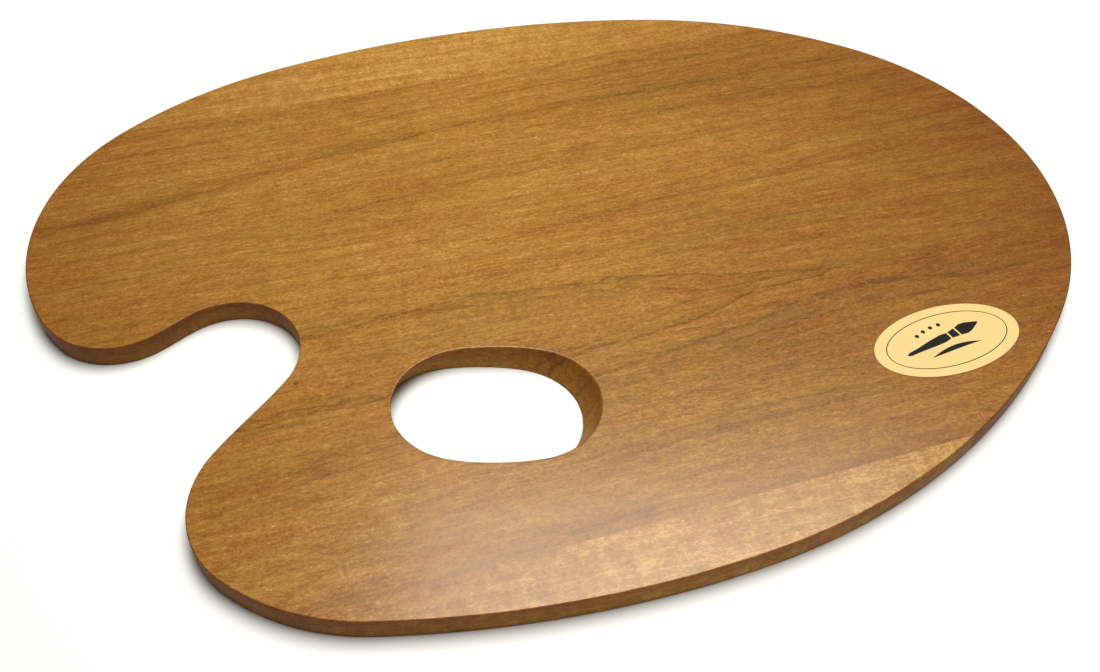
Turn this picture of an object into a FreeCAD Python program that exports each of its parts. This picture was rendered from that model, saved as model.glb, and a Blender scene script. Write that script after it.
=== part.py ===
import FreeCAD, Part
import math
import os

import Sketcher
from FreeCAD import Placement, Rotation, Vector

# A painter's oval palette, lying flat on its underside. The grain runs along X, and the thumb hole and
# the finger notch are on the -Y side. The origin is under the middle of the board, on its underside.
# A wide board has a narrow stave glued to each long edge, and the oval is sawn from that glued-up blank.

DIMENSIONS = [
    # the board
    ("board_length", 320.0),
    ("board_width", 244.0),
    ("board_thick", 7.0),
    ("edge_ease", 0.6),
    # arcs of the oval, anticlockwise from the right-hand end
    ("right_end_radius", 98.5),
    ("right_end_rise", 3.0),
    ("back_flank_radius", 151.5),
    ("back_crown_radius", 304.0),
    ("back_crown_across", -14.0),
    ("back_shoulder_radius", 138.0),
    ("left_end_radius", 73.0),
    ("left_end_rise", 33.0),
    ("heel_radius", 40.0),
    ("upper_lobe_radius", 22.0),
    ("upper_lobe_across", -132.8),
    ("upper_lobe_rise", 11.9),
    ("notch_radius", 20.3),
    ("notch_across", -104.4),
    ("notch_rise", -20.9),
    ("lower_lobe_radius", 29.1),
    ("lower_lobe_across", -89.5),
    ("lower_lobe_rise", -75.0),
    ("front_shoulder_radius", 62.0),
    ("front_crown_radius", 291.0),
    ("front_crown_across", -11.0),
    ("front_flank_radius", 185.0),
    # the thumb hole, which leans towards the lobes on its way down
    ("hole_length", 57.0),
    ("hole_width", 40.0),
    ("hole_end_radius", 19.0),
    ("hole_across", -35.5),
    ("hole_rise", -57.6),
    ("hole_turn", -15.8),
    ("hole_lean", -5.5),
    # the two glue lines, and how far the staves' blanks reach past the oval
    ("back_joint_rise", 93.5),
    ("back_joint_turn", 0.7),
    ("front_joint_rise", -105.0),
    ("front_joint_turn", 2.4),
    ("blank_margin", 20.0),
    # the sticker
    ("label_length", 45.4),
    ("label_width", 24.6),
    ("label_thick", 0.15),
    ("label_across", 92.7),
    ("label_rise", -68.8),
    ("label_turn", 6.2),
]

# Numbers by which a sketch constraint names the ends and centre of a line or arc, and the sketch's origin.
START, END, CENTRE = 1, 2, 3
ORIGIN = (-1, 1)
UP = Vector(0, 0, 1)
TOLERANCE = 1e-6

doc = FreeCAD.newDocument("mixing_palette")
sheet = doc.addObject("Spreadsheet::Sheet", "dims")
for row, (alias, number) in enumerate(DIMENSIONS, start=1):
    sheet.set("A%d" % row, alias)
    sheet.set("B%d" % row, str(number))
    sheet.setAlias("B%d" % row, alias)
doc.recompute()


def value(expression):
    """What an expression on the sheet comes to."""
    return float(sheet.evalExpression(expression))


def new_sketch(body, name):
    """A sketch on the body's own XY plane."""
    sketch = body.newObject("Sketcher::SketchObject", name)
    for feature in body.Origin.OriginFeatures:
        if feature.Role == "XY_Plane":
            sketch.AttachmentSupport = [(feature, "")]
    sketch.MapMode = "FlatFace"
    return sketch


def bind(sketch, constraint, expression):
    """Add a sized constraint and tie it to the sheet."""
    index = sketch.addConstraint(constraint)
    sketch.setExpression("Constraints[%d]" % index, expression)


def bind_centre(sketch, arc, across, rise):
    """Tie the centre of an arc to the sheet."""
    for kind, expression in (("DistanceX", across), ("DistanceY", rise)):
        bind(sketch, Sketcher.Constraint(kind, *ORIGIN, arc, CENTRE, value(expression)), expression)


def angle_of(point, centre):
    return math.atan2(point.y - centre.y, point.x - centre.x)


def add_arc(sketch, centre, radius, first, last):
    """Add the anticlockwise arc between two points."""
    begin = angle_of(first, centre)
    finish = angle_of(last, centre)
    if finish <= begin:
        finish += 2 * math.pi
    return sketch.addGeometry(Part.ArcOfCircle(Part.Circle(centre, UP, radius), begin, finish), False)


# ----------------------------------------------------------------------------------------------------
# The outline. Seven arcs have centres of their own, and each is joined to the next by a blend arc or a
# straight run, all tangent. A bend is a centre with a radius, and the notch's radius is negative.

class Bend:
    def __init__(self, centre, radius):
        self.centre = centre
        self.radius = radius


def blend_between(one, other, radius):
    """The bend of this radius that is tangent to both of its neighbours, outside the line of centres."""
    span = other.centre - one.centre
    to_one = radius - one.radius
    to_other = radius - other.radius
    along = (to_one ** 2 - to_other ** 2 + span.Length ** 2) / (2 * span.Length)
    across = math.sqrt(to_one ** 2 - along ** 2)
    unit = span / span.Length
    return Bend(one.centre + unit * along + Vector(unit.y, -unit.x, 0) * across, radius)


def meeting_point(one, other):
    """Where two tangent bends touch."""
    return one.centre - (one.centre - other.centre) * (one.radius / (one.radius - other.radius))


def straight_between(one, other):
    """The two ends of the straight run that is tangent to both bends."""
    span = other.centre - one.centre
    step = other.radius - one.radius
    run = math.sqrt(span.Length ** 2 - step ** 2)
    heading = (span * run + Vector(span.y, -span.x, 0) * step) / span.Length ** 2
    inward = Vector(-heading.y, heading.x, 0)
    return one.centre - inward * one.radius, other.centre - inward * other.radius


# Name, centre across, centre rise, and the blend that joins it to the next, or None for a straight run.
# The bends that touch the oval's box have centres one radius inside it.
BACK_CROWN_RISE = "dims.board_width / 2 - dims.back_crown_radius"
FRONT_CROWN_RISE = "dims.front_crown_radius - dims.board_width / 2"
RIGHT_END_ACROSS = "dims.board_length / 2 - dims.right_end_radius"
LEFT_END_ACROSS = "dims.left_end_radius - dims.board_length / 2"
OUTLINE = [
    ("right_end", RIGHT_END_ACROSS, "dims.right_end_rise", "back_flank"),
    ("back_crown", "dims.back_crown_across", BACK_CROWN_RISE, "back_shoulder"),
    ("left_end", LEFT_END_ACROSS, "dims.left_end_rise", "heel"),
    ("upper_lobe", "dims.upper_lobe_across", "dims.upper_lobe_rise", None),
    ("notch", "dims.notch_across", "dims.notch_rise", None),
    ("lower_lobe", "dims.lower_lobe_across", "dims.lower_lobe_rise", "front_shoulder"),
    ("front_crown", "dims.front_crown_across", FRONT_CROWN_RISE, "front_flank"),
]


def draw_outline(sketch):
    bends = []
    for name, across, rise, joined_by in OUTLINE:
        radius = value("dims.%s_radius" % name)
        centre = Vector(value(across), value(rise), 0)
        bends.append(Bend(centre, -radius if name == "notch" else radius))

    # where each bend begins and ends, and the blend arcs between them
    entry = [None] * len(bends)
    leave = [None] * len(bends)
    blends = [None] * len(bends)
    for here, (_, _, _, joined_by) in enumerate(OUTLINE):
        after = (here + 1) % len(bends)
        if joined_by is None:
            leave[here], entry[after] = straight_between(bends[here], bends[after])
        else:
            blends[here] = blend_between(bends[here], bends[after], value("dims.%s_radius" % joined_by))
            leave[here] = meeting_point(bends[here], blends[here])
            entry[after] = meeting_point(blends[here], bends[after])

    # each piece of the outline as (number in the sketch, its end where the path comes in, goes out)
    path = []
    for here, (name, across, rise, joined_by) in enumerate(OUTLINE):
        bend = bends[here]
        if bend.radius > 0:
            arc = add_arc(sketch, bend.centre, bend.radius, entry[here], leave[here])
            path.append((arc, START, END))
        else:
            arc = add_arc(sketch, bend.centre, -bend.radius, leave[here], entry[here])
            path.append((arc, END, START))
        bind_centre(sketch, arc, across, rise)
        bind(sketch, Sketcher.Constraint("Radius", arc, abs(bend.radius)), "dims.%s_radius" % name)
        after = (here + 1) % len(bends)
        if joined_by is None:
            run = sketch.addGeometry(Part.LineSegment(leave[here], entry[after]), False)
            path.append((run, START, END))
        else:
            blend = blends[here]
            arc = add_arc(sketch, blend.centre, blend.radius, leave[here], entry[after])
            path.append((arc, START, END))
            bind(sketch, Sketcher.Constraint("Radius", arc, blend.radius), "dims.%s_radius" % joined_by)

    for (one, _, way_out), (other, way_in, _) in zip(path, path[1:] + path[:1]):
        sketch.addConstraint(Sketcher.Constraint("Tangent", one, way_out, other, way_in))


# ----------------------------------------------------------------------------------------------------
# The thumb hole: two end arcs and two flatter side arcs, tangent all round, about the sketch's origin.

END_SHIFT = "(dims.hole_length / 2 - dims.hole_end_radius)"
SIDE_RADIUS = ("(%s ^ 2 + (dims.hole_width / 2) ^ 2 - dims.hole_end_radius ^ 2)"
               " / (dims.hole_width - 2 * dims.hole_end_radius)" % END_SHIFT)


def draw_thumb_hole(sketch):
    shift = value(END_SHIFT)
    end_radius = value("dims.hole_end_radius")
    side_radius = value(SIDE_RADIUS)
    side_shift = value("dims.hole_width / 2") - side_radius
    bends = [
        Bend(Vector(shift, 0, 0), end_radius),
        Bend(Vector(0, side_shift, 0), side_radius),
        Bend(Vector(-shift, 0, 0), end_radius),
        Bend(Vector(0, -side_shift, 0), side_radius),
    ]
    entry = [meeting_point(bends[here - 1], bend) for here, bend in enumerate(bends)]
    arcs = []
    for here, bend in enumerate(bends):
        arcs.append(add_arc(sketch, bend.centre, bend.radius, entry[here], entry[(here + 1) % len(bends)]))
    for one, other in zip(arcs, arcs[1:] + arcs[:1]):
        sketch.addConstraint(Sketcher.Constraint("Tangent", one, END, other, START))
    right_end, far_side, left_end, near_side = arcs
    bind_centre(sketch, right_end, END_SHIFT, "0")
    bind_centre(sketch, left_end, "-" + END_SHIFT, "0")
    bind(sketch, Sketcher.Constraint("Radius", right_end, end_radius), "dims.hole_end_radius")
    bind(sketch, Sketcher.Constraint("Radius", far_side, side_radius), SIDE_RADIUS)
    sketch.addConstraint(Sketcher.Constraint("Equal", left_end, right_end))
    sketch.addConstraint(Sketcher.Constraint("Equal", near_side, far_side))


# ----------------------------------------------------------------------------------------------------
# The whole board as sawn and shaped, before it is told apart into its staves.

board = doc.addObject("PartDesign::Body", "board")

outline = new_sketch(board, "outline")
draw_outline(outline)
slab = board.newObject("PartDesign::Pad", "slab")
slab.Profile = outline
slab.setExpression("Length", "dims.board_thick")
doc.recompute()

# The hole's sketch lies on the paint face, and the cut leans on its way down through the board.
hole_rim = new_sketch(board, "hole_rim")
hole_rim.AttachmentOffset = Placement(Vector(0, 0, 0), Rotation(UP, 0))
hole_rim.setExpression("AttachmentOffset.Base.x", "dims.hole_across")
hole_rim.setExpression("AttachmentOffset.Base.y", "dims.hole_rise")
hole_rim.setExpression("AttachmentOffset.Base.z", "dims.board_thick")
hole_rim.setExpression("AttachmentOffset.Rotation.Angle", "dims.hole_turn * 1 deg")
draw_thumb_hole(hole_rim)
doc.recompute()
thumb_hole = board.newObject("PartDesign::Pocket", "thumb_hole")
thumb_hole.Profile = hole_rim
thumb_hole.UseCustomVector = True
thumb_hole.AlongSketchNormal = True
thumb_hole.Direction = Vector(value("dims.hole_lean"), 0, -value("dims.board_thick"))
thumb_hole.setExpression("Length", "dims.board_thick")
doc.recompute()

# Every rim has a small flat eased off it: on the paint face and the underside, outside and in the hole.
rims = []
for number, edge in enumerate(thumb_hole.Shape.Edges, start=1):
    if edge.BoundBox.ZLength < TOLERANCE:
        rims.append("Edge%d" % number)
eased_rims = board.newObject("PartDesign::Chamfer", "eased_rims")
eased_rims.Base = (thumb_hole, rims)
eased_rims.setExpression("Size", "dims.edge_ease")
doc.recompute()


# ----------------------------------------------------------------------------------------------------
# The staves. Each narrow one is the board inside its own blank, and the middle board is what is left.

def add_blank(name, rise, heading):
    """A blank on the left of the glue line that runs this way and crosses X = 0 at rise."""
    blank = doc.addObject("Part::Box", name)
    half_span = "(dims.board_length / 2 + dims.blank_margin)"
    blank.setExpression("Length", "2 * " + half_span)
    blank.setExpression("Width", "dims.board_width / 2")
    blank.setExpression("Height", "dims.board_thick + 2 * dims.blank_margin")
    blank.setExpression("Placement.Base.x", "-%s * cos(%s)" % (half_span, heading))
    blank.setExpression("Placement.Base.y", "%s - %s * sin(%s)" % (rise, half_span, heading))
    blank.setExpression("Placement.Base.z", "-dims.blank_margin")
    blank.setExpression("Placement.Rotation.Angle", heading)
    return blank


def add_stave(name, operation, base, tool):
    stave = doc.addObject(operation, name)
    stave.Label = name
    stave.Base = base
    stave.Tool = tool
    return stave


back_blank = add_blank("back_blank", "dims.back_joint_rise", "dims.back_joint_turn * 1 deg")
front_blank = add_blank("front_blank", "dims.front_joint_rise", "(180 + dims.front_joint_turn) * 1 deg")
back_stave = add_stave("back_stave", "Part::Common", board, back_blank)
front_stave = add_stave("front_stave", "Part::Common", board, front_blank)
board_less_back = add_stave("board_less_back", "Part::Cut", board, back_blank)
middle_board = add_stave("middle_board", "Part::Cut", board_less_back, front_blank)


# ----------------------------------------------------------------------------------------------------
# The oval sticker on the paint face.

label = doc.addObject("PartDesign::Body", "label")
label.Label = "label"
label_edge = new_sketch(label, "label_edge")
half_length = value("dims.label_length / 2")
half_width = value("dims.label_width / 2")
oval = label_edge.addGeometry(
    Part.Ellipse(Vector(half_length, 0, 0), Vector(0, half_width, 0), Vector(0, 0, 0)), False)
label_edge.exposeInternalGeometry(oval)
long_axis = oval + 1
short_axis = oval + 2
label_edge.addConstraint(Sketcher.Constraint("Coincident", oval, CENTRE, *ORIGIN))
label_edge.addConstraint(Sketcher.Constraint("Horizontal", long_axis))
bind(label_edge, Sketcher.Constraint("Distance", long_axis, 2 * half_length), "dims.label_length")
bind(label_edge, Sketcher.Constraint("Distance", short_axis, 2 * half_width), "dims.label_width")
sticker = label.newObject("PartDesign::Pad", "sticker")
sticker.Profile = label_edge
sticker.setExpression("Length", "dims.label_thick")
label.setExpression("Placement.Base.x", "dims.label_across")
label.setExpression("Placement.Base.y", "dims.label_rise")
label.setExpression("Placement.Base.z", "dims.board_thick")
label.setExpression("Placement.Rotation.Angle", "dims.label_turn * 1 deg")


# ----------------------------------------------------------------------------------------------------
# Check every object, then write each sub-part.

doc.recompute()
sub_parts = [back_stave, middle_board, front_stave, label]

for item in doc.Objects:
    if "Invalid" in item.State or "Error" in item.State:
        raise RuntimeError("%s failed: %s" % (item.Name, item.State))
for sketch in (outline, hole_rim, label_edge):
    if not sketch.FullyConstrained:
        raise RuntimeError("%s is not fully constrained" % sketch.Name)
if not thumb_hole.Shape.Volume < slab.Shape.Volume:
    raise RuntimeError("the thumb hole cuts nothing")
for item in sub_parts:
    if item.Shape.isNull() or not item.Shape.isValid() or len(item.Shape.Solids) != 1:
        raise RuntimeError("%s is not one valid solid" % item.Label)

os.makedirs("parts", exist_ok=True)
for item in sub_parts:
    item.Shape.exportStep("parts/%s.step" % item.Label)
    box = item.Shape.BoundBox
    print("%s: %.1f x %.1f x %.2f mm, %.0f mm3"
          % (item.Label, box.XLength, box.YLength, box.ZLength, item.Shape.Volume))
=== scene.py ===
import math

import bmesh
import bpy
from mathutils import Matrix, Vector
from mathutils.geometry import delaunay_2d_cdt


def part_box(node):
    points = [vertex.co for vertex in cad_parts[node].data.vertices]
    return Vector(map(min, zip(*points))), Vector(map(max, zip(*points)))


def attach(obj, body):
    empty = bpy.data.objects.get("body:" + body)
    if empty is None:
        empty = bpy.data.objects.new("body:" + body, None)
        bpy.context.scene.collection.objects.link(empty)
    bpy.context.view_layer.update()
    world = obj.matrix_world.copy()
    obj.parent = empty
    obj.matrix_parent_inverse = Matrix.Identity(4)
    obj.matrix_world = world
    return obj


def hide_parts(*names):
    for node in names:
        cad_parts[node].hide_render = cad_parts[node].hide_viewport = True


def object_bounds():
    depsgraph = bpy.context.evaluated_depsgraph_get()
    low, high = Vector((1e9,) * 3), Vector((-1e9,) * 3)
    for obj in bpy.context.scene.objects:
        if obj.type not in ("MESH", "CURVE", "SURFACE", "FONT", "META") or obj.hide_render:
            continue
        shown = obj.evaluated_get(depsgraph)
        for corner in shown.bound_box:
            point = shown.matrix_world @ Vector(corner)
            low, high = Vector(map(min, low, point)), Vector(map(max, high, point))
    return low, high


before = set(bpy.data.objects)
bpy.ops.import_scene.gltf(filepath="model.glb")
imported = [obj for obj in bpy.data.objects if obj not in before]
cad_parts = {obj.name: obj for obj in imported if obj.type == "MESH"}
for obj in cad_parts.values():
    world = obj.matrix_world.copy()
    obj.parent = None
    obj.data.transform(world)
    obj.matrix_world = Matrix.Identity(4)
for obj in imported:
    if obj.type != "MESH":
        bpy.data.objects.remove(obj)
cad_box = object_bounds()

# An oval wooden palette: three staves glued edge to edge, and a printed paper sticker. The CAD nodes give
# every outline, glue line and height. The pieces here follow them, with rounded rims and printed shapes.

MM = 0.001
SAME_POINT = 0.01 * MM
STAVES = ["back_stave", "middle_board", "front_stave"]
GLUE_LINES = [("back_stave", "middle_board"), ("middle_board", "front_stave")]

# The heights of the two flat faces, and where the board ends to the left.
UNDERSIDE = min(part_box(node)[0].z for node in STAVES)
PAINT_FACE = max(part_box(node)[1].z for node in STAVES)
WEST = min(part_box(node)[0].x for node in STAVES)


# ----------------------------------------------------------------------------------------------------
# Reading the CAD nodes

def flat_rims(nodes, height):
    """The closed loops round the flat faces at this height, with the material on their left. The longest
    list of points comes first."""
    sides = {}
    for node in nodes:
        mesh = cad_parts[node].data
        for polygon in mesh.polygons:
            corners = [mesh.vertices[index].co for index in polygon.vertices]
            if all(abs(corner.z - height) < SAME_POINT for corner in corners):
                keys = [tuple(round(v / SAME_POINT) for v in corner.xy) for corner in corners]
                for one, other, corner in zip(keys, keys[1:] + keys[:1], corners):
                    sides[(one, other)] = corner.xy.to_3d()
    following = {}
    for (one, other), point in sides.items():
        if (other, one) not in sides:
            following[one] = (other, point)
    loops = []
    while following:
        key = min(following)
        loop = []
        while key in following:
            key, point = following.pop(key)
            loop.append(point)
        loops.append(loop)
    return sorted(loops, key=len, reverse=True)


def shared_line(one, other):
    """The ends of the glue line between two nodes, on the floor plan."""
    points = []
    for node in (one, other):
        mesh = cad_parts[node].data
        points.append({tuple(round(v / SAME_POINT) for v in vertex.co) for vertex in mesh.vertices})
    shared = sorted(points[0] & points[1])
    return [Vector((x, y, 0)) * SAME_POINT for x, y, z in (shared[0], shared[-1])]


def middle_of(loop):
    """The middle of a loop's box."""
    across = [point.x for point in loop]
    rise = [point.y for point in loop]
    return Vector((min(across) + max(across), min(rise) + max(rise), 0)) / 2


# ----------------------------------------------------------------------------------------------------
# Outlines

def tangents(loop):
    """The direction of the curve at each point, as of the circle through it and its two neighbours."""
    found = []
    for index, point in enumerate(loop):
        before = point - loop[index - 1]
        after = loop[(index + 1) % len(loop)] - point
        found.append((before.normalized() * after.length + after.normalized() * before.length).normalized())
    return found


def smooth_loop(loop, step):
    """A smooth closed curve through the points, as points and directions about one step apart."""
    directions = tangents(loop)
    dense = []
    for index, start in enumerate(loop):
        end = loop[(index + 1) % len(loop)]
        reach = (end - start).length
        leave = directions[index] * reach
        arrive = directions[(index + 1) % len(loop)] * reach
        count = max(1, math.ceil(reach / step))
        for part in range(count):
            t = part / count
            dense.append(start * (2 * t ** 3 - 3 * t ** 2 + 1) + leave * (t ** 3 - 2 * t ** 2 + t)
                         + end * (3 * t ** 2 - 2 * t ** 3) + arrive * (t ** 3 - t ** 2))
    return dense, tangents(dense)


def to_the_left(direction):
    return Vector((-direction.y, direction.x, 0))


# ----------------------------------------------------------------------------------------------------
# Finishing a mesh

SHARP = math.radians(35)


def finish_mesh(bm, name):
    """A smooth-shaded object, with the corners that are truly sharp kept sharp."""
    for face in bm.faces:
        face.smooth = True
    for edge in bm.edges:
        edge.smooth = len(edge.link_faces) == 2 and edge.calc_face_angle(0) < SHARP
    mesh = bpy.data.meshes.new(name)
    bm.to_mesh(mesh)
    bm.free()
    piece = bpy.data.objects.new(name, mesh)
    bpy.context.scene.collection.objects.link(piece)
    return piece


# ----------------------------------------------------------------------------------------------------
# The board: its outline and its thumb hole carried up through rounded rims, then sawn along the glue lines

OUTLINE_STEP = 1.2 * MM
RIM_RADIUS = 0.4 * MM
RIM_STEPS = 6
# How far the flat faces' edge lies inside the rounded rim.
RIM_MARGIN = 0.3 * MM
# The rim's unevenness, as (waves round the outline, share of the radius, phase).
SANDING = [(5, 0.10, 0.3), (11, 0.08, 2.1), (23, 0.07, 4.0), (47, 0.05, 1.2)]

# The material slots of a stave, and how level a side lies that counts as a face.
FACE, EDGE = 0, 1
LEVEL_ENOUGH = 0.93


def sanding(turn):
    """How much more or less of the rim was sanded away at this part of the way round."""
    return 1 + sum(size * math.sin(math.tau * waves * turn + phase) for waves, size, phase in SANDING)


def rim_profile(height):
    """The edge's section as (share of the rim's radius, height in the slab, share of the radius added)."""
    arc = [(1 - math.sin(a), 1 - math.cos(a)) for a in
           (math.pi / 2 * k / RIM_STEPS for k in range(RIM_STEPS + 1))]
    lower = [(inset, 0.0, lift) for inset, lift in arc]
    upper = [(inset, height, -lift) for inset, lift in reversed(arc)]
    return lower + upper


def add_wall(bm, loop, ease, lean):
    """One closed wall with rounded rims, and the two rings of vertices where the flat faces begin."""
    height = PAINT_FACE - UNDERSIDE
    points, directions = smooth_loop(loop, OUTLINE_STEP)
    profile = rim_profile(height)
    rows = [(profile[0], RIM_MARGIN)] + [(row, 0.0) for row in profile] + [(profile[-1], RIM_MARGIN)]
    rings = []
    for (inset, base, lift), margin in rows:
        ring = []
        for index, (point, direction) in enumerate(zip(points, directions)):
            radius = RIM_RADIUS * sanding(index / len(points))
            rise = base + lift * radius
            place = point + to_the_left(direction) * (inset * radius + margin - ease)
            place += lean * (1 - rise / height)
            ring.append(bm.verts.new((place.x, place.y, UNDERSIDE + rise)))
        rings.append(ring)
    for lower, upper in zip(rings, rings[1:]):
        for index in range(len(lower)):
            after = (index + 1) % len(lower)
            bm.faces.new((lower[after], lower[index], upper[index], upper[after]))
    return rings[0], rings[-1]


def ring_edges(bm, ring):
    return [bm.edges.get((one, other)) for one, other in zip(ring, ring[1:] + ring[:1])]


def make_board():
    """The whole board, before it is told apart into its staves."""
    paint_rims = flat_rims(STAVES, PAINT_FACE)
    under_rims = flat_rims(STAVES, UNDERSIDE)
    ease = min(point.x for point in paint_rims[0]) - WEST
    bm = bmesh.new()
    edges_below = []
    edges_above = []
    for paint_rim, under_rim in zip(paint_rims, under_rims):
        lean = middle_of(under_rim) - middle_of(paint_rim)
        below, above = add_wall(bm, paint_rim, ease, lean)
        edges_below += ring_edges(bm, below)
        edges_above += ring_edges(bm, above)
    bmesh.ops.triangle_fill(bm, edges=edges_above, use_beauty=True, normal=(0, 0, 1))
    bmesh.ops.triangle_fill(bm, edges=edges_below, use_beauty=True, normal=(0, 0, -1))
    bmesh.ops.recalc_face_normals(bm, faces=bm.faces)
    return bm


def saw(bm, line, keep):
    """Cut along the glue line, keep the part on the side of the point keep, and close the sawn face."""
    along = (line[1] - line[0]).normalized()
    normal = to_the_left(along)
    if (keep - line[0]).dot(normal) > 0:
        normal = -normal
    cut = bmesh.ops.bisect_plane(bm, geom=bm.verts[:] + bm.edges[:] + bm.faces[:], dist=SAME_POINT / 100,
                                 plane_co=line[0], plane_no=normal, clear_outer=True)
    edges = [part for part in cut["geom_cut"] if isinstance(part, bmesh.types.BMEdge)]
    bmesh.ops.contextual_create(bm, geom=edges)
    bmesh.ops.recalc_face_normals(bm, faces=bm.faces)


def make_staves():
    board = make_board()
    staves = {}
    for node in STAVES:
        low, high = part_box(node)
        part = board.copy()
        for pair in GLUE_LINES:
            if node in pair:
                saw(part, shared_line(*pair), (low + high) / 2)
        for face in part.faces:
            face.material_index = FACE if abs(face.normal.z) >= LEVEL_ENOUGH else EDGE
        staves[node] = finish_mesh(part, node.replace("_", " ").title().replace(" ", "_") + "_Wood")
        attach(staves[node], "root")
        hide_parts(node)
    board.free()
    return staves


# ----------------------------------------------------------------------------------------------------
# The sticker: a thin oval of paper, with the printed shapes as faces of their own in its upper side

LABEL_POINTS = 144
LABEL_BEVEL = 0.04 * MM
PAPER, INK = 0, 1

# The printed ring: half its length, half its width, and the width of its line.
RING_LONG = 19.2 * MM
RING_WIDE = 9.5 * MM
RING_LINE = 0.28 * MM

# The printed brush in millimetres: its sections as (distance along, half width), its tilt and its rise.
HANDLE = [(-14.0, 0.25), (-13.0, 0.6), (-10.0, 0.75), (-5.0, 1.25), (-1.0, 1.5), (1.2, 1.15)]
FERRULE = [(1.7, 1.2), (4.2, 1.5)]
HAIR = [(4.7, 1.55), (6.8, 2.0), (8.6, 1.7), (10.4, 0.95), (12.2, 0.15)]
BRUSH_TILT = 9
BRUSH_RISE = 0.8

# The paint stroke under it: its left end, its length, its sway and half its width in the middle.
STROKE_START = (-8, -4.6)
STROKE_LENGTH = 17
STROKE_SWAY = 1.3
STROKE_TURN = 2.6
STROKE_HALF = 0.8
STROKE_STEPS = 20

# The dabs of paint above it.
DABS = [(-7.4, 4.0), (-4.8, 4.9), (-2.0, 5.5), (0.8, 5.7)]
DAB_RADIUS = 0.65
DAB_POINTS = 16


def oval(long, wide, count):
    """The points of an oval, from its halves."""
    return [Vector((long * math.cos(a), wide * math.sin(a))) for a in
            (math.tau * k / count for k in range(count))]


def stroke_side(side):
    """One long side of the paint stroke, as points from left to right."""
    left, low = STROKE_START
    points = []
    for k in range(STROKE_STEPS + 1):
        t = k / STROKE_STEPS
        rise = low + STROKE_SWAY * math.sin(STROKE_TURN * t) + side * STROKE_HALF * math.sin(math.pi * t)
        points.append(Vector((left + STROKE_LENGTH * t, rise)) * MM)
    return points


def brush_motif():
    """A plain paintbrush lying over a paint stroke, with a few dabs of paint, as (outline, ink) shapes."""
    tilt = Matrix.Rotation(math.radians(BRUSH_TILT), 2)
    rise = Vector((0, BRUSH_RISE * MM))
    shapes = []
    for section in (HANDLE, FERRULE, HAIR):
        lower = [Vector((x, -half)) for x, half in section]
        upper = [Vector((x, half)) for x, half in section]
        shapes.append(([tilt @ point * MM + rise for point in lower + upper[::-1]], INK))
    shapes.append((stroke_side(-1) + stroke_side(1)[-2:0:-1], INK))
    for x, y in DABS:
        around = oval(DAB_RADIUS * MM, DAB_RADIUS * MM, DAB_POINTS)
        shapes.append(([Vector((x * MM, y * MM)) + point for point in around], INK))
    return shapes


def label_shapes(half_long, half_wide):
    """The label's upper side, its ring and its motif, as (outline, ink) shapes. Later ones lie on top."""
    shapes = [(oval(half_long - LABEL_BEVEL, half_wide - LABEL_BEVEL, LABEL_POINTS), PAPER)]
    shapes.append((oval(RING_LONG, RING_WIDE, LABEL_POINTS), INK))
    shapes.append((oval(RING_LONG - RING_LINE, RING_WIDE - RING_LINE, LABEL_POINTS), PAPER))
    return shapes + brush_motif()


def add_printed_face(bm, shapes, height):
    """The upper side, cut into its printed shapes, and the ring of vertices round it."""
    points = []
    outlines = []
    for outline, _ in shapes:
        outlines.append(list(range(len(points), len(points) + len(outline))))
        points += outline
    found = delaunay_2d_cdt(points, [], outlines, 1, SAME_POINT / 100)
    places, triangles, origins, owners = found[0], found[2], found[3], found[5]
    printed = [bm.verts.new((place.x, place.y, height)) for place in places]
    rim = {}
    for vertex, origin in zip(printed, origins):
        for source in origin:
            rim[source] = vertex
    for triangle, owner in zip(triangles, owners):
        face = bm.faces.new([printed[index] for index in triangle])
        face.material_index = shapes[max(owner)][1]
    return [rim[index] for index in range(LABEL_POINTS)]


def make_label():
    low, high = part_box("label")
    rim = flat_rims(["label"], high.z)[0]
    centre = Vector(((low.x + high.x) / 2, (low.y + high.y) / 2, 0))
    farthest = max(rim, key=lambda point: (point - centre).length)
    half_long = (farthest - centre).length
    half_wide = min((point - centre).length for point in rim)
    turn = math.atan2(farthest.y - centre.y, farthest.x - centre.x)
    if abs(turn) > math.pi / 2:
        turn += math.pi
    bm = bmesh.new()
    around = oval(half_long, half_wide, LABEL_POINTS)
    rings = []
    for height in (low.z, high.z - LABEL_BEVEL):
        rings.append([bm.verts.new((point.x, point.y, height)) for point in around])
    rings.append(add_printed_face(bm, label_shapes(half_long, half_wide), high.z))
    for lower, upper in zip(rings, rings[1:]):
        for index in range(LABEL_POINTS):
            after = (index + 1) % LABEL_POINTS
            bm.faces.new((lower[index], lower[after], upper[after], upper[index]))
    bm.faces.new(list(reversed(rings[0])))
    bmesh.ops.recalc_face_normals(bm, faces=bm.faces)
    bm.transform(Matrix.Translation(centre) @ Matrix.Rotation(turn, 4, "Z"))
    piece = finish_mesh(bm, "Label_Paper")
    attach(piece, "root")
    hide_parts("label")
    return piece


# ----------------------------------------------------------------------------------------------------
# Shader nodes

# How far each new seed moves a noise, in cells.
SEED_STEP = (7.31, 3.17, 5.73)


def solid(colour):
    """An sRGB colour, 0 to 255, as the linear colour that a shader takes."""
    found = []
    for level in colour:
        share = level / 255
        found.append(share / 12.92 if share <= 0.04045 else ((share + 0.055) / 1.055) ** 2.4)
    return (*found, 1.0)


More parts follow.
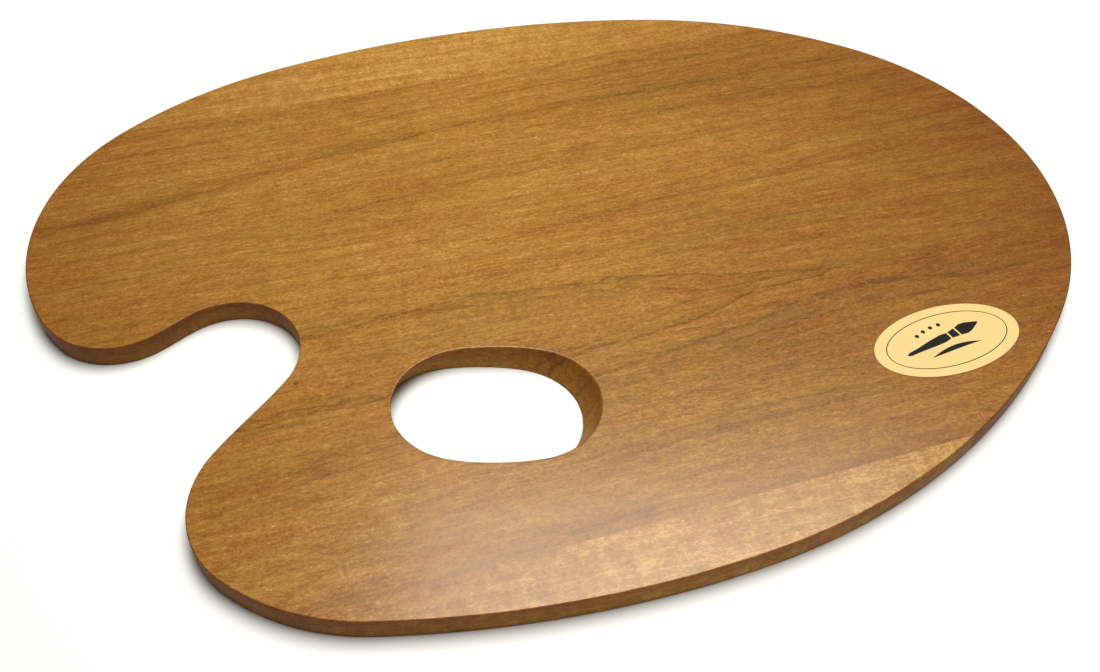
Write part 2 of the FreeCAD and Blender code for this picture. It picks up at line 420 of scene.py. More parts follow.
class Graph:
    """Shader nodes, wired by calls that take sockets or plain values."""

    def __init__(self, name):
        self.material = bpy.data.materials.new(name)
        self.material.use_nodes = True
        self.tree = self.material.node_tree
        self.shader = self.tree.nodes["Principled BSDF"]

    def feed(self, socket, value):
        if isinstance(value, bpy.types.NodeSocket):
            self.tree.links.new(value, socket)
        else:
            socket.default_value = value

    def math(self, operation, *values, clamp=False):
        made = self.tree.nodes.new("ShaderNodeMath")
        made.operation = operation
        made.use_clamp = clamp
        for index, value in enumerate(values):
            self.feed(made.inputs[index], value)
        return made.outputs[0]

    def add(self, one, other):
        return self.math("ADD", one, other)

    def times(self, one, other):
        return self.math("MULTIPLY", one, other)

    def length(self, one, other):
        """How long the diagonal of these two sides is."""
        return self.math("SQRT", self.add(self.times(one, one), self.times(other, other)))

    def rising(self, value, start, end):
        """From 0 at the start to 1 at the end, straight between them and level outside them."""
        return self.math("MULTIPLY_ADD", value, 1 / (end - start), -start / (end - start), clamp=True)

    def near(self, value, reach):
        """1 where the value is 0, falling straight to 0 at this reach on either side."""
        return self.rising(self.math("ABSOLUTE", value), reach, 0.0)

    def hump(self, value, middle, reach):
        """1 in the middle, falling in a curve to 0 at this reach on either side."""
        off = self.math("MULTIPLY_ADD", value, 1 / reach, -middle / reach)
        return self.math("MAXIMUM", self.math("SUBTRACT", 1.0, self.times(off, off)), 0.0)

    def place(self):
        """The point in the part's frame, in millimetres, as a vector and as three numbers."""
        source = self.tree.nodes.new("ShaderNodeTexCoord")
        scaled = self.tree.nodes.new("ShaderNodeVectorMath")
        scaled.operation = "SCALE"
        self.feed(scaled.inputs[0], source.outputs["Object"])
        scaled.inputs["Scale"].default_value = 1 / MM
        split = self.tree.nodes.new("ShaderNodeSeparateXYZ")
        self.feed(split.inputs[0], scaled.outputs[0])
        return scaled.outputs[0], split.outputs[0], split.outputs[1], split.outputs[2]

    def facing_x(self):
        """How far this side faces along the grain, from -1 to 1."""
        source = self.tree.nodes.new("ShaderNodeTexCoord")
        split = self.tree.nodes.new("ShaderNodeSeparateXYZ")
        self.feed(split.inputs[0], source.outputs["Normal"])
        return split.outputs[0]

    def noise(self, place, cell, seed, detail=2.0, roughness=0.5, distortion=0.0):
        """Noise from -1 to 1 or so, whose blotches are about cell millimetres in size."""
        mapped = self.tree.nodes.new("ShaderNodeMapping")
        self.feed(mapped.inputs["Vector"], place)
        mapped.inputs["Scale"].default_value = [1 / size for size in cell]
        mapped.inputs["Location"].default_value = [seed * step for step in SEED_STEP]
        made = self.tree.nodes.new("ShaderNodeTexNoise")
        self.feed(made.inputs["Vector"], mapped.outputs[0])
        made.inputs["Scale"].default_value = 1.0
        made.inputs["Detail"].default_value = detail
        made.inputs["Roughness"].default_value = roughness
        made.inputs["Distortion"].default_value = distortion
        return self.math("MULTIPLY_ADD", made.outputs["Fac"], 2.0, -1.0)

    def strays(self, place, layers):
        """Noises laid over each other, each given as (cell, seed, size)."""
        total = 0.0
        for cell, seed, size in layers:
            total = self.add(total, self.times(self.noise(place, cell, seed), size))
        return total

    def chance(self, value):
        """A number from 0 to 1 that belongs to this value."""
        made = self.tree.nodes.new("ShaderNodeTexWhiteNoise")
        made.noise_dimensions = "1D"
        self.feed(made.inputs["W"], value)
        return made.outputs["Value"]

    def ramp(self, factor, stops):
        """A colour that eases from one (position, sRGB colour) to the next."""
        made = self.tree.nodes.new("ShaderNodeValToRGB")
        ramp = made.color_ramp
        ramp.interpolation = "EASE"
        while len(ramp.elements) < len(stops):
            ramp.elements.new(0.5)
        for element, (position, colour) in zip(ramp.elements, stops):
            element.position = position
            element.color = solid(colour)
        self.feed(made.inputs["Fac"], factor)
        return made.outputs["Color"]

    def levels(self, factor, stops):
        """A number that runs straight from one (position, level) to the next."""
        made = self.tree.nodes.new("ShaderNodeValToRGB")
        elements = made.color_ramp.elements
        while len(elements) < len(stops):
            elements.new(0.5)
        for element, (position, level) in zip(elements, stops):
            element.position = position
            element.color = (level, level, level, 1.0)
        self.feed(made.inputs["Fac"], factor)
        return made.outputs["Color"]

    def mix(self, factor, one, other, blend="MIX"):
        """One, with this share of the other laid over it."""
        made = self.tree.nodes.new("ShaderNodeMix")
        made.data_type = "RGBA"
        made.blend_type = blend
        self.feed(made.inputs["Factor"], factor)
        self.feed(made.inputs["A"], one)
        self.feed(made.inputs["B"], other)
        return made.outputs["Result"]

    def tint(self, colour, kind):
        """The colour with another laid over it, given as (sRGB colour, share)."""
        over, share = kind
        return self.mix(share, colour, solid(over))

    def tint_where(self, where, colour, kind):
        """The same, but only where this value is 1, and less of it where the value is less."""
        over, share = kind
        return self.mix(self.times(where, share), colour, solid(over))

    def relief(self, strength, distance, height):
        """Bump the shader's surface."""
        made = self.tree.nodes.new("ShaderNodeBump")
        made.inputs["Strength"].default_value = strength
        made.inputs["Distance"].default_value = distance
        self.feed(made.inputs["Height"], height)
        self.feed(self.shader.inputs["Normal"], made.outputs["Normal"])


# ----------------------------------------------------------------------------------------------------
# Cherry wood. Lengths are in millimetres, in the part's frame.

# The wood's sRGB colour by its tone, from the darkest latewood to the palest sheen.
CHERRY = [(0.0, (92, 50, 12)), (0.35, (135, 83, 22)), (0.62, (161, 109, 38)), (1.0, (200, 153, 84))]
MIDDLE_TONE = 0.565

# What tints it, as (sRGB colour, share). Noises choose between olive and red, and place rays and pores.
OLIVE = ((160, 134, 56), 0.13)
RED = ((178, 88, 46), 0.08)
LACQUER = ((168, 140, 88), 0.10)
RAY = ((190, 142, 66), 0.28)
PORE = ((82, 50, 18), 0.30)
OLIVE_TO_RED = (-0.28, 0.3867)
RAY_FROM_TO = (1 / 7, 3 / 7)
PORE_FROM_TO = (0.425, 0.675)
# Painted shade where the lamp's light falls off towards both ends, tinted reddish.
# The shade grows with the square of the way from ENDS_MIDDLE along x, and is whole at ENDS_REACH.
PAINTED_END_SHADE = ((84, 20, 6), 0.42)
ENDS_MIDDLE = -12.0
ENDS_REACH = 150.0

# Growth rings laid over each other, as (spacing, shift, sharpness, seed, weight).
RING_SETS = [(10.5, 0.0, 4.0, 60, -0.22), (3.4, 1.7, 3.0, 40, -0.13), (5.9, 0.6, 14.0, 80, -0.15)]
RING_UNEVENNESS = 1.6

# The stain of the sawn edges multiplies the wood's colour. It changes between two heights: low down it is
# # lighter and more olive, a painted reflection of the white floor.
# Painted reflection of the white floor on the lower part of the edges, over their stain.
STAIN_AND_FLOOR_REFLECTION_BELOW = (1.05, 0.98, 0.76, 1.0)
STAIN_ABOVE = (0.79, 0.58, 0.46, 1.0)
STAIN_AND_REFLECTION_FROM_TO = (1.575, 6.075)
STAIN_END_GRAIN = (0.60, 0.56, 0.60, 1.0)
END_GRAIN_SHARE = 0.9
# Painted light makes the thumb hole's wall paler than the outer edges.
# # All of it lies within the nearer of these reaches.
PAINTED_LIGHT_IN_HOLE = (1.16, 1.28, 1.28, 1.0)
HOLE_FROM_TO = (40.0, 36.0)

WOOD_IOR = 1.5
FACE_GLOSS = 0.32
FACE_ROUGHNESS = 0.22
EDGE_GLOSS = 0.12
EDGE_ROUGHNESS = 0.55
FLECK_ROUGHNESS = 0.08
PORE_ROUGHNESS = 0.10

# The relief, as a share of GRAIN_RELIEF for the fibres, the flecks and the pores.
GRAIN_BUMP = 0.4
GRAIN_RELIEF = 0.03 * MM
FIBRE_RELIEF = 0.45
FLECK_RELIEF = 0.35
PORE_RELIEF = -0.8


def thumb_hole_middle():
    """The middle of the thumb hole in the paint face, in millimetres."""
    hole = flat_rims(STAVES, PAINT_FACE)[1]
    return middle_of(hole) / MM


def rings(graph, radius, spacing, sharpness, seed):
    """Growth rings that darken slowly and end at once, each to a depth of its own."""
    years = graph.math("DIVIDE", radius, spacing)
    share = graph.math("FRACT", years)
    year = graph.math("FLOOR", years)
    depth = graph.math("POWER", graph.chance(graph.add(year, seed)), RING_UNEVENNESS)
    return graph.times(graph.math("POWER", share, sharpness), depth)


def wood_tone(graph, place, radius, seed, ring_depth, curl):
    """How pale the wood is beside its middle tone, with the fibres and flecks that its sheen follows."""
    fibre = graph.noise(place, (9.0, 0.8, 0.8), seed + 2, roughness=0.6)
    fleck = graph.noise(place, (1.5, 0.62, 0.62), seed + 3, roughness=0.7)
    grit = graph.noise(place, (0.8, 0.5, 0.5), seed + 9, detail=1.0, roughness=0.7)
    streaks = graph.noise(place, (45.0, 1.6, 1.6), seed + 1, detail=3.0)
    mottle = graph.noise(place, (8.0, 2.6, 2.6), seed + 4, detail=3.0, roughness=0.6)
    ripple = graph.noise(place, (2.6, 7.0, 7.0), seed + 5, detail=3.0, roughness=0.6, distortion=0.6)
    clouds = graph.noise(place, (80.0, 30.0, 30.0), seed + 6, detail=1.0)
    layers = [(streaks, 0.20), (mottle, 0.25), (ripple, 0.18 * curl), (clouds, 0.16),
              (fibre, 0.22), (fleck, 0.43), (grit, 0.38)]
    for spacing, shift, sharpness, ring_seed, weight in RING_SETS:
        ring = rings(graph, graph.add(radius, shift), spacing, sharpness, seed + ring_seed)
        layers.append((ring, weight * ring_depth))
    tone = 0.0
    for layer, weight in layers:
        tone = graph.add(tone, graph.times(layer, weight))
    return tone, fibre, fleck


def wood_colour(graph, place, x, tone, pore, seed):
    """The lacquered wood's colour: olive and reddish by turns, with pale rays, and painted shade at both
    ends.
    """
    colour = graph.ramp(tone, CHERRY)
    warmth = graph.rising(graph.noise(place, (30.0, 6.0, 6.0), seed + 7), *OLIVE_TO_RED)
    colour = graph.mix(warmth, graph.tint(colour, OLIVE), graph.tint(colour, RED))
    colour = graph.tint(colour, LACQUER)
    ray = graph.rising(graph.noise(place, (3.4, 0.7, 0.7), seed + 10), *RAY_FROM_TO)
    colour = graph.tint_where(ray, colour, RAY)
    colour = graph.tint_where(pore, colour, PORE)
    # Painted shade at both ends, where the lamp's light falls off.
    ends = graph.math("MULTIPLY_ADD", x, 1 / ENDS_REACH, -ENDS_MIDDLE / ENDS_REACH)
    return graph.tint_where(graph.times(ends, ends), colour, PAINTED_END_SHADE)


def edge_stain_and_painted_light(graph, x, y, z):
    """What multiplies the colour on the sawn edges: darker higher up and on end grain. Low down it holds a
    painted reflection of the white floor, and the thumb hole's wall gets painted light.
    """
    stain_and_light = graph.mix(graph.rising(z, *STAIN_AND_REFLECTION_FROM_TO), STAIN_AND_FLOOR_REFLECTION_BELOW, STAIN_ABOVE)
    end_grain = graph.times(graph.math("ABSOLUTE", graph.facing_x()), END_GRAIN_SHARE)
    stain_and_light = graph.mix(end_grain, stain_and_light, graph.mix(1.0, stain_and_light, STAIN_END_GRAIN, "MULTIPLY"))
    # Painted light on the thumb hole's wall, paler than the outer edges.
    middle = thumb_hole_middle()
    away = graph.length(graph.add(x, -middle.x), graph.add(y, -middle.y))
    in_hole = graph.rising(away, *HOLE_FROM_TO)
    return graph.mix(in_hole, stain_and_light, graph.mix(1.0, stain_and_light, PAINTED_LIGHT_IN_HOLE, "MULTIPLY"))


def wood(name, figure, seed, ring_depth=1.0, curl=0.5, tone_shift=0.0, edge=False):
    """Satin-lacquered cherry. figure gives the distance from the tree's heart, and how much the stave's
    own marks change the tone. The sawn edges are the same wood, darker and duller, because the end grain
    drinks the lacquer. Low down they hold a painted reflection of the floor, and the hole's wall painted
    light."""
    graph = Graph(name)
    place, x, y, z = graph.place()
    radius, marks = figure(graph, place, x, y, z)
    tone, fibre, fleck = wood_tone(graph, place, radius, seed, ring_depth, curl)
    tone = graph.add(graph.add(tone, marks), MIDDLE_TONE + tone_shift)
    pore = graph.rising(graph.noise(place, (2.2, 0.22, 0.22), seed + 8, detail=1.0), *PORE_FROM_TO)
    colour = wood_colour(graph, place, x, tone, pore, seed)
    shader = graph.shader
    shader.inputs["IOR"].default_value = WOOD_IOR
    if edge:
        # The edges' colour holds a painted reflection of the floor low down, and painted light in the thumb
        # hole.
        colour = graph.mix(1.0, colour, edge_stain_and_painted_light(graph, x, y, z), "MULTIPLY")
        shader.inputs["Specular IOR Level"].default_value = EDGE_GLOSS
        rough = graph.math("MULTIPLY_ADD", fleck, FLECK_ROUGHNESS, EDGE_ROUGHNESS)
    else:
        shader.inputs["Specular IOR Level"].default_value = FACE_GLOSS
        rough = graph.math("MULTIPLY_ADD", fleck, FLECK_ROUGHNESS, FACE_ROUGHNESS)
        rough = graph.add(rough, graph.times(pore, PORE_ROUGHNESS))
    graph.feed(shader.inputs["Base Color"], colour)
    graph.feed(shader.inputs["Roughness"], rough)
    height = graph.add(graph.times(fibre, FIBRE_RELIEF), graph.times(fleck, FLECK_RELIEF))
    graph.relief(GRAIN_BUMP, GRAIN_RELIEF, graph.add(height, graph.times(pore, PORE_RELIEF)))
    return graph.material


# ----------------------------------------------------------------------------------------------------
# The middle board's figure: flat-sawn, with its heart a little below the board

# Where the heart lies: its y, its depth under the paint face at x = 0, and how it dips to the right.
HEART_Y = -33.0
HEART_DEPTH = 14.0
HEART_DIP = 0.085
# How the distance from the heart grows along x, as a share in a millimetre: behind and in front of it.
TAPER_BEHIND = -0.001
TAPER_IN_FRONT = 0.0023
# No ring lies closer round the heart than this, so that the flame has the middle to itself.
CALM_HEART = 22.3
# One slow swell of the rings: its height, its length, the distance where it starts, and its place in x.
SWELL = -8.0
SWELL_LENGTH = 80
SWELL_START = 72
SWELL_MIDDLE = -10.5
SWELL_REACH = 105.0
# How the rings wander: slowly, but not close round the heart, and in two finer ways everywhere.
SLOW_STRAY = [((120.0, 40.0, 40.0), 11, 7.0)]
FINE_STRAYS = [((26.0, 9.0, 9.0), 12, 1.5), ((6.0, 1.8, 1.8), 13, 0.55)]
STEADY_REACH = 40.0

# The plainer years, as (distance from the heart, width of the dark latewood, how dark).
YEARS = [(23.4, 1.0, 0.12), (27.0, 1.2, 0.14), (36.5, 1.2, 0.14),
         (45.0, 1.6, 0.12), (58.5, 1.2, 0.14), (71.5, 1.6, 0.12)]
YEAR_REACH = 100.0
YEAR_END = 0.5

# The flame: where the saw ran along one year, as (x, half its width), with its tip to the right.
FLAME = [(-90.0, 15.5), (-30.0, 16.0), (10.0, 12.5), (32.0, 9.5), (42.0, 5.5), (50.0, 3.4), (76.0, 0.0)]
FLAME_WIDTH = 20.0
FLAME_SPAN = 200.0
# Its two outlines, as (shift to the left, how much narrower, line's and wash's darkness, seed).
FLAME_OUTLINES = [(0.0, 0.0, 0.36, 0.12, 14), (17.0, 2.2, 0.26, 0.08, 15)]
# Half the width of their lines.
FLAME_LINE = 0.6
# Inside each line a wash comes up over the first of these widths, and fades out over the second.
FLAME_WASH_START = 0.5
FLAME_WASH_REACH = 4.0
# There is none of an outline to the right of the first x, and all of it to the left of the second.
FLAME_FROM_TO = (86.4, 74.4)

# The broad brown year behind the middle, which climbs to the right, as (x, y).
BAND = [(-150.0, 46.0), (-105.0, 53.0), (-70.0, 60.5), (-40.0, 64.0), (0.0, 67.0), (80.0, 69.5),
        (160.0, 70.0)]
BAND_REACH = 6.0
BAND_DARK = 0.25
BAND_STRAYS = [((24.0, 5.0, 5.0), 16, 2.2), ((7.0, 1.6, 1.6), 19, 0.8)]
# It is faintest to the right, by this share, and whole at the lobes.
BAND_LEAST = 0.40
BAND_FROM_TO = (38.5, -71.5)

# The darker years that show as lines of their own, as (half width, how dark, [(x, y), ...]).
LINES = [
    (1.3, 0.17, [(-25, -58), (12, -52.5), (43, -47.5), (60, -43), (75, -41), (98, -43.8), (125, -47.5)]),
    (1.0, 0.12, [(0, -59), (28, -55), (49, -50.5), (65, -48), (90, -49), (115, -51)]),
    (1.1, 0.16, [(-20, -84.5), (16, -82.5), (49, -82), (86, -80), (105, -79)]),
    (1.0, 0.14, [(-75, 59), (-45, 62), (-20, 66), (45, 67.6), (88, 69.1), (130, 68.4)]),
    (1.0, 0.12, [(-60, 75), (-20, 78.4), (11, 80.7), (54, 83), (108, 84.6)]),
    (1.0, 0.12, [(0, 52), (18, 52.9), (46, 53.7), (66, 57.5), (95, 58.3)]),
    (0.9, 0.12, [(-70, 32.5), (-20, 34.4), (18, 35.6), (45, 36.7), (75, 40)]),
    (1.0, 0.15, [(-30, 6), (11, 8), (34, 10.9), (57, 11.5), (88, 12.7), (111, 14.3), (140, 20)]),
    (1.1, 0.12, [(-158, 45), (-135, 46.5), (-105, 52.7), (-85, 57)]),
]
# They fade over this length at both ends, sway together, and come and go by this share.
LINE_END = 15.0
LINE_STRAYS = [((34.0, 12.0, 12.0), 51, 1.6), ((9.0, 2.4, 2.4), 52, 0.9)]
LINE_PATCHES = 0.8
# The wash behind each line: how far behind its middle is, its reach, and its share of the darkness.
WASH_OFFSET = 1.5
WASH_REACH = 4.0
WASH_SHARE = 0.35

# The wood darkens beside the front glue line, given by its y at x = 0 and its slope.
FRONT_Y = -105.0
FRONT_SLOPE = 0.042
FRONT_REACH = 9.0
FRONT_DARK = 0.13
# It darkens in a broad strip in front of the heart too, and to the right.
STRIP_Y = -52.0
STRIP_REACH = 30.0
STRIP_DARK = 0.09
RIGHT_FROM_TO = (7.0, 42.0)
RIGHT_DARK = 0.07

# The pin knot beside the finger notch.
KNOT_AT = (-86.9, -36.6)
KNOT_RADIUS = 0.95
KNOT_STRETCH = 1.4
KNOT_DARK = 1.9

# The curves run over this span of x and of y, with the part's origin in its middle.
SPAN = 320.0


def heart_distance(graph, place, x, y, z):
    """How far the point is from the heart, with the rings' swell and strays."""
    rise = graph.add(y, -HEART_Y)
    off = 0.0
    for side, taper in (("MAXIMUM", TAPER_BEHIND), ("MINIMUM", TAPER_IN_FRONT)):
        share = graph.math("MULTIPLY_ADD", x, taper, 1.0)
        off = graph.add(off, graph.times(graph.math(side, rise, 0.0), share))
    face_depth = graph.math("MULTIPLY_ADD", x, HEART_DIP, HEART_DEPTH)
    radius = graph.length(off, graph.add(face_depth, graph.add(z, -PAINT_FACE / MM)))
    unsteady = graph.rising(graph.math("ABSOLUTE", off), 0.0, STEADY_REACH)
    middle = graph.hump(x, SWELL_MIDDLE, SWELL_REACH)
    turn = math.tau / SWELL_LENGTH
    swell = graph.math("SINE", graph.math("MULTIPLY_ADD", radius, turn, -turn * SWELL_START))
    swell = graph.times(graph.times(graph.times(swell, middle), unsteady), SWELL)
    slow = graph.times(graph.strays(place, SLOW_STRAY), unsteady)
    radius = graph.add(graph.add(radius, swell), graph.add(slow, graph.strays(place, FINE_STRAYS)))
    return graph.math("MAXIMUM", radius, CALM_HEART)


def plain_years(graph, radius):
    """How dark the plainer years are."""
    stops = []
    for end, width, dark in YEARS:
        for at, level in ((end - width, 0.0), (end, dark), (end + YEAR_END, 0.0)):
            stops.append((at / YEAR_REACH, level))
    return graph.levels(graph.times(radius, 1 / YEAR_REACH), stops)


def flame(graph, place, x, y):
    """How dark the flame's outline and the wood just inside it are."""
    dark = 0.0
    along = graph.math("MULTIPLY_ADD", x, 1 / FLAME_SPAN, 0.5)
    for shift, shrink, line, wash, seed in FLAME_OUTLINES:
        stops = []
        for at, wide in FLAME:
            stops.append(((at - shift) / FLAME_SPAN + 0.5, max(0.0, wide - shrink) / FLAME_WIDTH))
        half = graph.times(graph.levels(along, stops), FLAME_WIDTH)
        stray = graph.strays(place, [((20.0, 14.0, 14.0), seed, 3.2), ((7.0, 3.0, 3.0), seed + 4, 1.4)])
        across = graph.math("ABSOLUTE", graph.add(graph.add(y, -HEART_Y), stray))
        past = graph.math("SUBTRACT", across, half)
        fading = graph.math("MULTIPLY_ADD", past, 1 / FLAME_WASH_REACH, 1.0)
        inside = graph.math("MINIMUM", fading, graph.times(past, -1 / FLAME_WASH_START))
        inside = graph.math("MAXIMUM", inside, 0.0)
        part = graph.add(graph.times(graph.near(past, FLAME_LINE), line), graph.times(inside, wash))
        before_end = graph.rising(graph.add(x, shift), *FLAME_FROM_TO)
        dark = graph.add(dark, graph.times(part, before_end))
    return dark


def off_curve(graph, x, y, points):
    """How far to the back of the curve through these (x, y) points the point lies."""
    stops = [(at / SPAN + 0.5, up / SPAN + 0.5) for at, up in points]
    level = graph.levels(graph.math("MULTIPLY_ADD", x, 1 / SPAN, 0.5), stops)
    return graph.math("MULTIPLY_ADD", level, -SPAN, graph.add(y, SPAN / 2))


def brown_band(graph, place, x, y):
    """How dark the broad brown year is, more so towards the lobes."""
    off = graph.add(off_curve(graph, x, y, BAND), graph.strays(place, BAND_STRAYS))
    strength = graph.math("MAXIMUM", graph.rising(x, *BAND_FROM_TO), BAND_LEAST)
    return graph.times(graph.times(graph.near(off, BAND_REACH), BAND_DARK), strength)


def dark_years(graph, place, x, y):
    """How dark the years are that show as lines of their own."""
    swayed = graph.add(y, graph.strays(place, LINE_STRAYS))
    dark = 0.0
    for reach, depth, points in LINES:
        off = off_curve(graph, x, swayed, points)
        line = graph.times(graph.near(off, reach), depth)
        wash = graph.times(graph.near(graph.add(off, -WASH_OFFSET), WASH_REACH), WASH_SHARE * depth)
        first, last = points[0][0], points[-1][0]
        ends = graph.times(graph.rising(x, first, first + LINE_END), graph.rising(x, last, last - LINE_END))
        dark = graph.add(dark, graph.times(graph.add(line, wash), ends))
    patchy = graph.math("MULTIPLY_ADD", graph.noise(place, (14.0, 3.0, 3.0), 53), LINE_PATCHES, 1.0)
    return graph.times(dark, patchy)


def broad_shades(graph, x, y):
    """How dark the wood is beside the front glue line, in the broad strip and to the right."""
    behind = graph.add(graph.math("MULTIPLY_ADD", x, -FRONT_SLOPE, -FRONT_Y), y)
    front = graph.times(graph.rising(behind, FRONT_REACH, 0.0), FRONT_DARK)
    strip = graph.times(graph.hump(y, STRIP_Y, STRIP_REACH), STRIP_DARK)
    right = graph.times(graph.rising(x, *RIGHT_FROM_TO), RIGHT_DARK)
    return graph.add(graph.add(front, strip), right)


def pin_knot(graph, x, y):
    """How dark the pin knot is."""
    along = graph.add(x, -KNOT_AT[0])
    across = graph.times(graph.add(y, -KNOT_AT[1]), KNOT_STRETCH)
    return graph.times(graph.near(graph.length(along, across), KNOT_RADIUS), KNOT_DARK)


def flat_sawn(graph, place, x, y, z):
    """The distance from the heart, and the marks that the middle board has of its own."""
    radius = heart_distance(graph, place, x, y, z)
    dark = plain_years(graph, radius)
    for part in (flame(graph, place, x, y), brown_band(graph, place, x, y), dark_years(graph, place, x, y),
                 broad_shades(graph, x, y), pin_knot(graph, x, y)):
        dark = graph.add(dark, part)
    return radius, graph.times(dark, -1.0)


# ----------------------------------------------------------------------------------------------------
# The two narrow staves' figure: straight-grained

# How deep their hearts lie, how far the rings waver, and how much they slant through the thickness.
STRAIGHT_DEPTH = 40.0
WAVER = 2.4
SLANT = 0.4
LOBES_FROM_TO = (-10.0, -60.0)


def straight_grained(heart_y, slope, seed, fade=0.0):
    """The heart lies far off to one side, so the rings run nearly straight along the stave.
    fade is how much the stave darkens towards the lobes."""
    def figure(graph, place, x, y, z):
        off = graph.add(graph.add(y, -heart_y), graph.times(x, slope))
        radius = graph.add(graph.length(off, STRAIGHT_DEPTH), graph.times(z, SLANT))
        waver = graph.noise(place, (60.0, 14.0, 14.0), seed)
        radius = graph.add(radius, graph.times(waver, WAVER))
        towards_lobes = graph.rising(x, *LOBES_FROM_TO)
        return radius, graph.times(towards_lobes, -fade)
    return figure


# ----------------------------------------------------------------------------------------------------
# Coated paper

# The paper and its ink, as (sRGB colour, roughness, gloss).
LABEL_GOLD = ((222, 189, 118), 0.42, 0.5)
LABEL_INK = ((16, 11, 8), 0.55, 0.15)
# How the colour wanders between the darkest and the palest, and how much fibres and clouds move it.
DARKEST = (0.3, 0.94)
PALEST = (0.7, 1.04)
FIBRE_SHARE = 0.06
CLOUD_SHARE = 0.10
FIBRE_ROUGHNESS = 0.05
PAPER_BUMP = 0.15
PAPER_RELIEF = 0.02 * MM


def printed_paper(name, colour, roughness, gloss):
    graph = Graph(name)
    graph.shader.inputs["Specular IOR Level"].default_value = gloss
    place = graph.place()[0]
    fibres = graph.noise(place, (0.5, 0.5, 0.5), 21, detail=3.0)
    clouds = graph.noise(place, (14.0, 9.0, 9.0), 22, detail=1.0)
    level = graph.math("MULTIPLY_ADD", clouds, CLOUD_SHARE, 0.5)
    level = graph.add(level, graph.times(fibres, FIBRE_SHARE))
    stops = [(at, [min(255, part * share) for part in colour]) for at, share in (DARKEST, PALEST)]
    graph.feed(graph.shader.inputs["Base Color"], graph.ramp(level, stops))
    rough = graph.math("MULTIPLY_ADD", fibres, FIBRE_ROUGHNESS, roughness)
    graph.feed(graph.shader.inputs["Roughness"], rough)
    graph.relief(PAPER_BUMP, PAPER_RELIEF, fibres)
    return graph.material


# ----------------------------------------------------------------------------------------------------
# The pieces, with their materials

# Each stave as (material, slot, figure, seed, how it differs from the middle board).
WOODS = {
    "middle_board": ("Middle_Cherry", "middle_wood", flat_sawn, 3, dict()),
    "back_stave": ("Back_Cherry", "back_wood", straight_grained(190.0, 0.03, 31), 17,
                   dict(ring_depth=0.45, curl=1.5, tone_shift=0.12)),
    "front_stave": ("Front_Cherry", "front_wood", straight_grained(-190.0, -0.02, 32, fade=0.15), 29,
                    dict(ring_depth=0.20, curl=2.3, tone_shift=0.17)),
}

staves = make_staves()
for node, (name, slot, figure, seed, looks) in WOODS.items():
    face_wood = wood(name, figure, seed, **looks)
    edge_wood = wood(name + "_Edge", figure, seed, edge=True, **looks)
    for material in (face_wood, edge_wood):
        staves[node].data.materials.append(material)
    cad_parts[node].data.materials.clear()
    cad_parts[node].data.materials.append(face_wood)

label = make_label()
label.data.materials.append(printed_paper("Label_Gold", *LABEL_GOLD))
label.data.materials.append(printed_paper("Label_Ink", *LABEL_INK))


# ----------------------------------------------------------------------------------------------------
# Floor, light and camera. Lengths are in metres, but for the camera's place, which is in millimetres.

FLOOR_RADIUS = 0.75
FLOOR_MIDDLE = (0.231, 0.216)
FLOOR_GAP = 0.05 * MM
FLOOR_COLOUR = (0.79, 0.80, 0.79, 1.0)
FLOOR_ROUGHNESS = 0.7
FLOOR_CORNERS = 96

# The soft box: where it hangs, how it is turned, its size, its power and its colour.
KEY_AZIMUTH = 46.9
KEY_ELEVATION = 77.3
KEY_TURN = 29.6
KEY_DISTANCE = 1.44
KEY_SIZE = (0.83, 1.125)
KEY_POWER = 31.5
KEY_COLOUR = (1.0, 0.99, 0.96)

# The light that the palette gets from all round, and what the camera sees beyond the floor.
STUDIO_FILL = (0.090, 0.0873, 0.072, 1.0)
WHITE = (1.0, 1.0, 1.0, 1.0)

CAMERA_AT = (-73.87, -252.57, 245.6)
CAMERA_TILT = 43.0
CAMERA_TURN = -15.26
CAMERA_SENSOR = 36.0
CAMERA_LENS = 37.64
CAMERA_NEAREST = 0.01


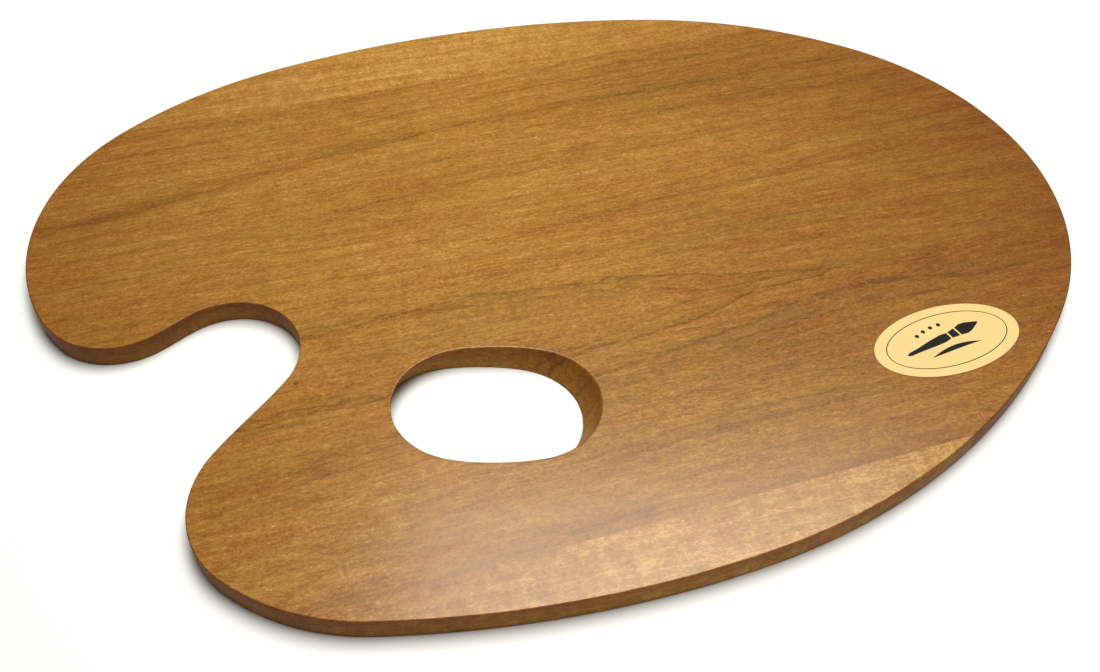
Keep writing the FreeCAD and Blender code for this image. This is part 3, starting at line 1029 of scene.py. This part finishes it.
def make_floor():
    """A round floor under the lamp, small enough to stay white out to its edge."""
    bm = bmesh.new()
    bmesh.ops.create_circle(bm, cap_ends=True, segments=FLOOR_CORNERS, radius=FLOOR_RADIUS)
    floor = finish_mesh(bm, "Floor")
    floor.location = (*FLOOR_MIDDLE, cad_box[0][2] - FLOOR_GAP)
    graph = Graph("Floor_White")
    graph.shader.inputs["Base Color"].default_value = FLOOR_COLOUR
    graph.shader.inputs["Roughness"].default_value = FLOOR_ROUGHNESS
    floor.data.materials.append(graph.material)


def make_key_light():
    """A soft box that faces the palette, turned in its own plane. The azimuth runs from +Y towards +X."""
    lamp = bpy.data.lights.new("Key", "AREA")
    lamp.shape = "RECTANGLE"
    lamp.size, lamp.size_y = KEY_SIZE
    lamp.energy = KEY_POWER
    lamp.color = KEY_COLOUR
    box = bpy.data.objects.new("Key", lamp)
    bpy.context.scene.collection.objects.link(box)
    a, e = math.radians(KEY_AZIMUTH), math.radians(KEY_ELEVATION)
    way = Vector((math.sin(a) * math.cos(e), math.cos(a) * math.cos(e), math.sin(e)))
    facing = way.to_track_quat("Z", "Y").to_matrix()
    facing = facing @ Matrix.Rotation(math.radians(KEY_TURN), 3, "Z")
    box.location = way * KEY_DISTANCE
    box.rotation_euler = facing.to_euler()


def make_camera():
    """The camera looks down on the palette from in front, a little to the left."""
    lens = bpy.data.cameras.new("Camera")
    lens.sensor_width = CAMERA_SENSOR
    lens.lens = CAMERA_LENS
    lens.clip_start = CAMERA_NEAREST
    camera = bpy.data.objects.new("Camera", lens)
    bpy.context.scene.collection.objects.link(camera)
    camera.location = Vector(CAMERA_AT) * MM
    camera.rotation_euler = (math.radians(CAMERA_TILT), 0, math.radians(CAMERA_TURN))
    bpy.context.scene.camera = camera


def make_world():
    """A dim warm studio that lights the palette a little, and that shows white beyond the floor."""
    world = bpy.data.worlds.new("World")
    world.use_nodes = True
    tree = world.node_tree
    path = tree.nodes.new("ShaderNodeLightPath")
    colour = tree.nodes.new("ShaderNodeMix")
    colour.data_type = "RGBA"
    colour.inputs["A"].default_value = STUDIO_FILL
    colour.inputs["B"].default_value = WHITE
    tree.links.new(path.outputs["Is Camera Ray"], colour.inputs["Factor"])
    tree.links.new(colour.outputs["Result"], tree.nodes["Background"].inputs["Color"])
    bpy.context.scene.world = world


make_floor()
make_key_light()
make_world()
bpy.context.scene.view_settings.view_transform = "Standard"
make_camera()
